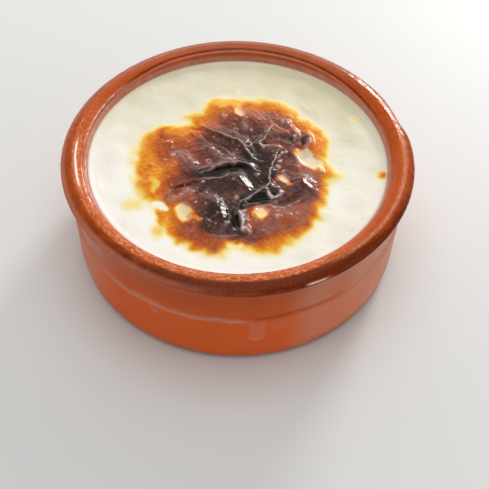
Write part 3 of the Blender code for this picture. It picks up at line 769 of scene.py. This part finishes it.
def shoulder_lines(from_front, z, wander):
    """The shoulder's pale line at the left and far right, partly the glaze's edge and partly painted
    highlight on its ledge, and the dark one between them.
    """
    line_z = SHOULDER_Z + 0.2 + 0.6 * wander
    # The pale lines are partly painted highlight on the ledge
    left_share = smooth((SHOULDER_LINE_END - from_front) / 8.0)
    width = np.interp(from_front, (-70.0, -30.0, -15.0), (1.3, 0.8, 0.5))
    pale_left = SHOULDER_FILM_AND_HIGHLIGHT * left_share * bell(z - line_z, width) * (0.5 / width) ** 0.4
    dark_end = smooth((44.0 - from_front) / 14.0)
    pale_right = 0.8 * (1.0 - left_share) * (1.0 - dark_end) * bell(z - line_z - 0.3, 1.1)
    dark = (1.0 - left_share) * dark_end * bell(z - line_z - 0.5, 0.35)
    return np.maximum(pale_left, pale_right), dark


def drip_film(from_front, z, wander):
    """Thin runs of glaze with a paler rim and tip."""
    film_and_highlight = np.zeros(z.shape)
    for middle, half_width, top, bottom, paleness in DRIPS:
        across = (from_front - middle + 0.6 * wander) / half_width
        run = smooth((top - z) / 1.5) * smooth((z - bottom) / 1.2 + 0.5)
        tip = bell(z - bottom - 0.8 * across ** 2, 0.7) * (np.abs(across) < 1.1)
        edge = bell(np.abs(across) - 0.9, 0.3) * run
        inside = 0.35 * run * (np.abs(across) < 0.9)
        film_and_highlight = np.maximum(film_and_highlight, paleness * np.maximum(np.maximum(tip, 0.5 * edge), inside))
    return film_and_highlight


def outer_film_and_sheen(from_front, z, reach, wander, behind, right_foot_shade):
    """The pale film over the sides of the wall and the rim's outer face, partly painted sheen where they
    turn from the light, with a painted glint by the crack at the right.
    """
    # Painted sheen on the sides turned from the light
    right_side = 0.45 * smooth((from_front - 14.0) / 14.0)
    right_side = right_side + 0.32 * smooth((from_front - 35.0) / 25.0)
    side = np.maximum(right_side, 0.55 * smooth((-40.0 - from_front) / 25.0))
    side = mixed(side, BACK_FILM, behind) * (0.85 + 0.3 * wander) * (1.0 - 0.6 * right_foot_shade)
    film_and_highlight = side * smooth((RIM_FROM_Z - 1.0 - z) / 2.0)
    lit = smooth((from_front - CRACK_TO + 1.0) / 2.0) * smooth((CRACK_GLINT_TO - from_front) / 4.0)
    film_and_highlight = np.maximum(film_and_highlight, 1.4 * lit * bell(reach - GLINT_REACH - 0.2 * wander, 0.33))
    on_rim = smooth((z - RIM_FROM_Z) / 0.8)
    # Painted sheen on the rim's outer face at the left
    at_left = smooth(1.4 - np.abs(from_front + 65.0) / 55.0) * smooth((reach - 2.4) / 1.6)
    at_back = smooth((np.abs(from_front) - 110.0) / 40.0)
    return np.maximum(film_and_highlight, on_rim * np.maximum(0.3 * at_left, 0.16 * at_back))


def inner_film_and_glare(from_front, radius, z, spot):
    """The film on the inner wall, stronger next to the cream, with painted glare at the left."""
    film_and_highlight = look_up(from_front, INNER_FILM) * (1.0 + 0.15 * ripple(spot, 4.0, 57))
    film_and_highlight = film_and_highlight * (1.0 + 0.5 * smooth((FILL_Z + 2.5 - z) / 2.5))
    # Painted glare on the inner wall at the left
    at_left = smooth(1.5 - np.abs(from_front + 98.0) / 26.0)
    film_and_highlight = np.maximum(film_and_highlight, at_left * np.minimum(0.65 + 0.3 * ripple(spot, 1.3, 58), 0.8))
    return film_and_highlight * smooth((52.3 - radius) / 1.0) * smooth((z - 30.0) / 2.0)


def rim_lines(from_front, z, reach, wander, spot, on_rim):
    """The painted highlights round the rim's crest (the bright lip line and white streak at the left, the
    crest line at the right), the pale line by the groove, and where the gold speckle of painted glints
    lies.
    """
    # Painted highlight along the crest at the right
    width = np.interp(from_front, (30.0, 60.0, 95.0, 115.0), (0.5, 0.6, 1.0, 0.6))
    ends = smooth((from_front - 25.0) / 20.0) * smooth((118.0 - from_front) / 15.0)
    crest_line = on_rim * ends * bell(reach - 0.9, width)
    on_crest = on_rim * smooth((reach + 3.6) / 1.0) * smooth((0.8 - reach) / 0.6)
    on_crest = on_crest * smooth((130.0 + from_front) / 40.0) * smooth((50.0 - from_front) / 25.0)
    # Painted highlight: a white streak on the crest at the left
    highlight_streak = 1.4 * bell(reach - HIGHLIGHT_STREAK_REACH + 0.15 * wander, 0.5)
    highlight_streak = on_rim * highlight_streak * smooth(2.0 - np.abs(from_front - HIGHLIGHT_STREAK_MIDDLE) / 8.0)
    # Painted highlight: a bright beaded line on the lip at the left
    lip_line = bell(reach - LIP_LINE_REACH, 0.32) * (1.0 + 0.35 * ripple(spot, 2.2, 59))
    lip_line = lip_line * smooth(1.6 - np.abs(from_front - LIP_LINE_MIDDLE) / LIP_LINE_HALF_ANGLE)
    groove_edge = 0.5 * groove_share(from_front, reach + 0.7, z)
    film_and_highlight = np.maximum.reduce([groove_edge, 0.28 * crest_line, highlight_streak, lip_line])
    return film_and_highlight, np.maximum(on_crest, crest_line)


def clay_values(angle, from_front, radius, z, reach, spot):
    """The glaze: how dark (0 bare clay to 1 dark brown, with painted shade under the rim and round the
    foot), its pale film with painted sheen and highlights, its gloss and its gold speckle of painted
    glints.
    """
    wander = 0.5 * ripple(spot, 16.0, 51) + 0.2 * ripple(spot, 5.0, 52)
    behind = smooth((np.abs(from_front) - BACK_FROM) / 55.0)
    on_rim = smooth((z - RIM_FROM_Z) / 0.8)
    outside = smooth((radius - INNER_RADIUS - 3.0) / 1.0)
    # Painted shade low on the right side, by the foot
    right_foot_shade = smooth((8.0 - z) / 7.0) * smooth((from_front - 15.0) / 20.0) * (1.0 - behind)
    line_film_and_highlight, dark_line = shoulder_lines(from_front, z, wander)
    # The wall darkens upwards, partly with painted shade under the rim
    tone = look_up(z, WALL_TONES) + look_up(from_front, UNDER_RIM_PAINTED_SHADE) * smooth((z - 32.0) / 3.0)
    tone = mixed(tone, rim_tones(angle, from_front, reach, spot, behind), on_rim)
    tone = tone + 0.5 * groove_share(from_front, reach, z) + crack_share(from_front, reach)
    tone = tone + 0.035 * ripple(spot, 9.0, 53) + 0.02 * ripple(spot, 2.5, 54)
    # Painted shade near the foot at the right and a painted contact shadow round the foot, besides the
    # shoulder's dark line
    tone = tone + 0.45 * outside * dark_line + 0.3 * right_foot_shade + 0.45 * smooth((3.5 - z) / 3.0)
    film_and_highlight = outer_film_and_sheen(from_front, z, reach, wander, behind, right_foot_shade)
    film_and_highlight = np.maximum.reduce([film_and_highlight, line_film_and_highlight * (1.0 - behind), drip_film(from_front, z, wander)])
    film_and_highlight = film_and_highlight * outside * (1.0 - 0.5 * dark_line)
    line_film_and_highlight, gold_glint = rim_lines(from_front, z, reach, wander, spot, on_rim)
    film_and_highlight = np.maximum.reduce([film_and_highlight, inner_film_and_glare(from_front, radius, z, spot), line_film_and_highlight])
    glazed = smooth((z - SHOULDER_Z + 0.3 - 0.5 * wander) / 1.0)
    gloss = np.maximum(0.12 + 0.6 * glazed, 0.5 * film_and_highlight)
    values = {"tone": tone, "film_and_highlight": film_and_highlight, "gloss": mixed(gloss, 1.0, 0.7 * on_rim), "gold_glint": gold_glint}
    return {name: np.clip(numbers, 0.0, 1.0) for name, numbers in values.items()}


def make_bowl():
    """The turned bowl in rings, with its tool marks, groove and crack, just inside the solid's surface."""
    profile = bowl_profile()
    steps = np.gradient(profile, axis=0)
    normals = np.stack([-steps[:, 1], steps[:, 0]], -1)
    normals /= np.linalg.norm(normals, axis=1)[:, None]
    count = len(profile)
    lengths = np.concatenate([[0.0], np.cumsum(np.hypot(*np.diff(profile, axis=0).T))])
    reach = np.repeat(lengths - lengths[np.argmax(profile[:, 1])], BOWL_SEGMENTS)
    radius, z = np.repeat(profile, BOWL_SEGMENTS, axis=0).T
    out_r, out_z = np.repeat(normals, BOWL_SEGMENTS, axis=0).T
    angle = np.tile(np.linspace(0.0, 2.0 * np.pi, BOWL_SEGMENTS, endpoint=False), count)
    from_front = (np.degrees(angle) - FRONT + 180.0) % 360.0 - 180.0
    radius = radius + hand_shift(angle, radius, z)
    spot = np.stack([radius * np.cos(angle), radius * np.sin(angle), z], -1)
    relief = 0.035 * ripple(spot, 3.0, 31) + 0.015 * ripple(spot, 1.4, 32)
    marked = smooth((z - RIM_FROM_Z) / 1.5) * (0.7 + 0.5 * ripple(spot, 6.0, 34))
    near_reach = reach + 0.25 * ripple(spot, 14.0, 33)
    for place, half_width, rise in RIM_MARKS:
        relief = relief + marked * rise * bell(near_reach - place, half_width)
    relief = relief - GROOVE_DEPTH * groove_share(from_front, reach, z)
    relief = relief - CRACK_DEPTH * crack_share(from_front, reach)
    shown = smooth((z - 1.0) / 4.0) * smooth((radius - INNER_RADIUS - 0.1) / 1.0)
    push = shown * (np.minimum(relief, HIGHEST_RELIEF) - HIGHEST_RELIEF - 0.01)
    values = clay_values(angle, from_front, radius, z, reach, spot)
    values["reach"] = reach
    radius = radius + out_r * push
    points = np.stack([radius * np.cos(angle), radius * np.sin(angle), z + out_z * push], -1).tolist()
    faces = ring_quads(count, BOWL_SEGMENTS)
    faces += fan(len(points), 0, BOWL_SEGMENTS, 1)
    faces += fan(len(points) + 1, (count - 1) * BOWL_SEGMENTS, BOWL_SEGMENTS, -1)
    points += [(0.0, 0.0, WALL), (0.0, 0.0, 0.0)]
    return add_piece("clay_bowl", points, faces, values)


# Colours by degree of bake; the darkest also serve as painted shade in the slits, the pit and under the
# blob
BAKE_AND_SHADE_COLOURS = [
    (0.00, (0.90, 0.88, 0.815, 1.0)),
    (0.10, (0.87, 0.73, 0.28, 1.0)),
    (0.20, (0.80, 0.43, 0.035, 1.0)),
    (0.30, (0.72, 0.23, 0.008, 1.0)),
    (0.42, (0.54, 0.125, 0.008, 1.0)),
    (0.54, (0.34, 0.062, 0.012, 1.0)),
    (0.66, (0.15, 0.034, 0.020, 1.0)),
    (0.80, (0.045, 0.016, 0.012, 1.0)),
    (1.00, (0.005, 0.003, 0.003, 1.0)),
]
# The pale edge is partly painted highlight, the white edge painted highlight
PALE_EDGE_AND_HIGHLIGHT = (0.68, 0.48, 0.42, 1.0)
WHITE_EDGE_HIGHLIGHT = (0.92, 0.86, 0.84, 1.0)
# Darker, yellower cream, a painted shade of the rim at the back
SHADED_WARM_CREAM = (0.66, 0.61, 0.42, 1.0)
# Greyish mauve crust, partly painted wet sheen
GREY_CRUST_AND_SHEEN = (0.27, 0.14, 0.125, 1.0)

CLAY_COLOURS = [
    (0.00, (0.76, 0.125, 0.022, 1.0)),
    (0.35, (0.56, 0.10, 0.022, 1.0)),
    (0.65, (0.42, 0.070, 0.010, 1.0)),
    (1.00, (0.14, 0.018, 0.002, 1.0)),
]
# Pale film, which also paints sheen and highlights
PALE_FILM_AND_HIGHLIGHT = (0.66, 0.34, 0.25, 1.0)
# White painted highlight
WHITE_HIGHLIGHT = (0.95, 0.84, 0.76, 1.0)
# Gold speckle that paints the crest's broken glints
GOLD_GLINT_SPECKLE = (0.88, 0.42, 0.21, 1.0)
FLOOR_COLOUR = (0.679542, 0.686685, 0.679542, 1.0)


class Material:
    """A new material, with short ways to add nodes to it. A value is a number, a colour or a socket."""

    def __init__(self, name):
        self.data = bpy.data.materials.new(name)
        self.data.use_nodes = True
        self.tree = self.data.node_tree

    def fill(self, socket, value):
        if isinstance(value, bpy.types.NodeSocket):
            self.tree.links.new(value, socket)
        else:
            socket.default_value = value

    def node(self, kind, inputs):
        node = self.tree.nodes.new("ShaderNode" + kind)
        for name, value in inputs.items():
            self.fill(node.inputs[name], value)
        return node

    def attribute(self, name):
        node = self.node("Attribute", {})
        node.attribute_name = name
        return node.outputs["Fac"]

    def maths(self, operation, first, second, clamp=False):
        node = self.node("Math", {0: first, 1: second})
        node.operation = operation
        node.use_clamp = clamp
        return node.outputs[0]

    def times(self, *values):
        product = values[0]
        for value in values[1:]:
            product = self.maths("MULTIPLY", product, value)
        return product

    def place(self):
        return self.node("TexCoord", {}).outputs["Object"]

    def drawn_out_place(self, length, width):
        """Places that make noise run round the bowl in streaks, about that long and wide in millimetres."""
        apart = self.node("SeparateXYZ", {"Vector": self.place()})
        joined = {axis: self.times(apart.outputs[axis], 1.0 / (length * MM)) for axis in ("X", "Y")}
        joined["Z"] = self.times(self.attribute("reach"), 1.0 / width)
        return self.node("CombineXYZ", joined).outputs["Vector"]

    def noise(self, place, scale, detail):
        return self.node("TexNoise", {"Vector": place, "Scale": scale, "Detail": detail}).outputs["Fac"]

    def map_range(self, value, low, high, to_low, to_high):
        inputs = {"Value": value, "From Min": low, "From Max": high, "To Min": to_low, "To Max": to_high}
        return self.node("MapRange", inputs).outputs["Result"]

    def mix(self, share, first, second):
        """The first colour turning to the second as the share goes from 0 to 1."""
        node = self.node("Mix", {})
        node.data_type = "RGBA"
        for socket, value in (("Factor", share), (6, first), (7, second)):
            self.fill(node.inputs[socket], value)
        return node.outputs[2]

    def ramp(self, value, colours):
        node = self.node("ValToRGB", {"Fac": value})
        stops = node.color_ramp.elements
        stops[0].position, stops[0].color = colours[0]
        stops[1].position, stops[1].color = colours[-1]
        for position, colour in colours[1:-1]:
            stops.new(position).color = colour
        return node.outputs["Color"]

    def bump(self, height, strength):
        inputs = {"Height": height, "Strength": strength, "Distance": 0.2 * MM}
        return self.node("Bump", inputs).outputs["Normal"]

    def finish(self, inputs):
        for name, value in inputs.items():
            self.fill(self.tree.nodes["Principled BSDF"].inputs[name], value)
        return self.data


def pudding_material():
    """Cream that browns and blackens with the bake, under a moist coat, with painted shade in the slits and
    at the back, painted sheen on the crust and painted highlight on edges and beads.
    """
    skin = Material("baked_pudding")
    bake_and_shade = skin.attribute("bake_and_shade")
    pale_and_highlight = skin.attribute("pale_and_highlight")
    browned = skin.map_range(bake_and_shade, 0.12, 0.45, 0.0, 1.0)
    mottle = skin.noise(skin.place(), 900.0, 3.0)
    swing = skin.times(skin.maths("SUBTRACT", mottle, 0.5), 0.24, browned)
    colour = skin.ramp(skin.maths("ADD", bake_and_shade, swing, clamp=True), BAKE_AND_SHADE_COLOURS)
    # Painted shade of the rim: the cream darker and yellower towards the back
    warm_and_shade = skin.times(skin.attribute("warm_and_shade"), skin.map_range(bake_and_shade, 0.0, 0.12, 1.0, 0.0))
    colour = skin.mix(warm_and_shade, colour, SHADED_WARM_CREAM)
    # Greyish mauve crust tone, partly painted wet sheen
    crusty = skin.times(skin.map_range(bake_and_shade, 0.42, 0.55, 0.0, 1.0),
                        skin.map_range(bake_and_shade, 0.6, 0.8, 1.0, 0.0))
    colour = skin.mix(skin.times(skin.attribute("grey_and_sheen"), 0.52, crusty), colour, GREY_CRUST_AND_SHEEN)
    # Paler edges, windows and rim of the cream, with painted highlight on crests, rings and beads; the
    # palest is white painted highlight
    colour = skin.mix(pale_and_highlight, colour, PALE_EDGE_AND_HIGHLIGHT)
    colour = skin.mix(skin.map_range(pale_and_highlight, 0.8, 1.0, 0.0, 1.0), colour, WHITE_EDGE_HIGHLIGHT)
    pits = skin.times(skin.noise(skin.place(), 1300.0, 4.0), browned,
                      skin.map_range(bake_and_shade, 0.8, 0.95, 1.0, 0.1))
    return skin.finish({
        "Base Color": colour,
        "Roughness": skin.map_range(bake_and_shade, 0.1, 0.9, 0.5, 0.34),
        "Normal": skin.bump(pits, 0.35),
        "Specular IOR Level": 0.12,
        "Specular Tint": (1.0, 0.84, 0.74, 1.0),
        "Coat Weight": 0.36,
        "Coat Roughness": 0.08,
        "Coat IOR": 1.45,
        "Subsurface Weight": 0.1,
        "Subsurface Radius": (1.0, 0.75, 0.45),
        "Subsurface Scale": 0.002,
    })


def clay_material():
    """Red-brown glaze over orange clay, with a pale film that also paints sheen and highlights, and a gold
    speckle that paints the crest's broken glints.
    """
    clay = Material("glazed_clay")
    tone = clay.attribute("tone")
    film_and_highlight = clay.attribute("film_and_highlight")
    speckle = clay.noise(clay.place(), 1700.0, 4.0)
    swing = clay.times(clay.maths("SUBTRACT", speckle, 0.5), tone, 0.5)
    colour = clay.ramp(clay.maths("ADD", tone, swing, clamp=True), CLAY_COLOURS)
    # Pale film, with painted sheen on the sides and painted highlights on the rim
    colour = clay.mix(film_and_highlight, colour, PALE_FILM_AND_HIGHLIGHT)
    # Gold speckle that paints the crest's broken glints
    streaks = clay.noise(clay.drawn_out_place(1.3, 0.42), 1.0, 2.0)
    dots = clay.map_range(streaks, 0.46, 0.74, 0.0, 0.75)
    colour = clay.mix(clay.times(dots, clay.attribute("gold_glint")), colour, GOLD_GLINT_SPECKLE)
    # The palest film is white painted highlight
    colour = clay.mix(clay.map_range(film_and_highlight, 0.82, 0.97, 0.0, 1.0), colour, WHITE_HIGHLIGHT)
    return clay.finish({
        "Base Color": colour,
        "Roughness": clay.map_range(clay.attribute("gloss"), 0.0, 1.0, 0.62, 0.1),
        "Normal": clay.bump(clay.times(speckle, tone), 0.25),
        "Specular IOR Level": 0.1,
        "Specular Tint": (1.0, 0.86, 0.72, 1.0),
        "Sheen Weight": 0.03,
        "Sheen Roughness": 0.5,
        "Sheen Tint": (1.0, 0.85, 0.75, 1.0),
    })


def make_stage():
    mesh = bpy.data.meshes.new("floor")
    corners = [(x * FLOOR_HALF, y * FLOOR_HALF, 0.0) for x, y in ((-1, -1), (1, -1), (1, 1), (-1, 1))]
    mesh.from_pydata(corners, [], [(0, 1, 2, 3)])
    mesh.materials.append(Material("pale_floor").finish({"Base Color": FLOOR_COLOUR, "Roughness": 0.55}))
    floor = add_object("floor", mesh)


def add_light(name, place, width, depth, power, colour=(1.0, 1.0, 1.0)):
    data = bpy.data.lights.new(name, "AREA")
    data.shape = "RECTANGLE"
    data.size = width
    data.size_y = depth
    data.energy = power
    data.color = colour
    light = add_object(name, data)
    light.location = place
    light.rotation_euler = (LIGHT_TARGET - Vector(place)).to_track_quat("-Z", "Y").to_euler()


def make_lights():
    world = bpy.data.worlds.new("studio")
    world.use_nodes = True
    sky = world.node_tree.nodes["Background"].inputs
    sky["Color"].default_value = (1.0, 0.99, 0.97, 1.0)
    sky["Strength"].default_value = 0.52
    bpy.context.scene.world = world
    add_light("key_behind_right", (0.405, 0.795, 0.33), 0.24, 0.2, 5.2, (1.0, 0.98, 0.95))
    add_light("window_behind", (-0.07, 0.87, 0.30), 1.2, 0.5, 2.4)
    add_light("overhead", (0.0, -0.02, 0.99), 0.8, 0.8, 3.4)
    add_light("window_right", (0.80, -0.25, 0.35), 0.3, 0.4, 0.3)


def make_camera():
    data = bpy.data.cameras.new("camera")
    data.sensor_width = SENSOR_WIDTH
    data.lens = FOCAL_PIXELS / PHOTO_PIXELS * SENSOR_WIDTH
    data.clip_start = 0.01
    camera = add_object("camera", data)
    turn = Matrix.Rotation(math.radians(-CAMERA_TURN), 4, "Z")
    tilt = Matrix.Rotation(math.radians(90.0 - CAMERA_TILT), 4, "X")
    roll = Matrix.Rotation(math.radians(CAMERA_ROLL), 4, "Z")
    camera.matrix_world = Matrix.Translation(CAMERA_PLACE) @ turn @ tilt @ roll
    bpy.context.scene.camera = camera


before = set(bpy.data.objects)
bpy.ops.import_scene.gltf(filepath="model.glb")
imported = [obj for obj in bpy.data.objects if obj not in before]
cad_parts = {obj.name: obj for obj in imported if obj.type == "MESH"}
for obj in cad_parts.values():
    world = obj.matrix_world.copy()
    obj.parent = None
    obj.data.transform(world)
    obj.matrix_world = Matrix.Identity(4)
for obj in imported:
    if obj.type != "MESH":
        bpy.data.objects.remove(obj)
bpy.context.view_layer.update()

make_camera()
make_lights()
make_stage()

bowl = make_bowl()
bowl.data.materials.append(clay_material())
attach(bowl, "root")
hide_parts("bowl")

pudding = make_pudding()
pudding.data.materials.append(pudding_material())
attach(pudding, "root")
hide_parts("pudding")

bpy.context.scene.view_settings.view_transform = "Standard"
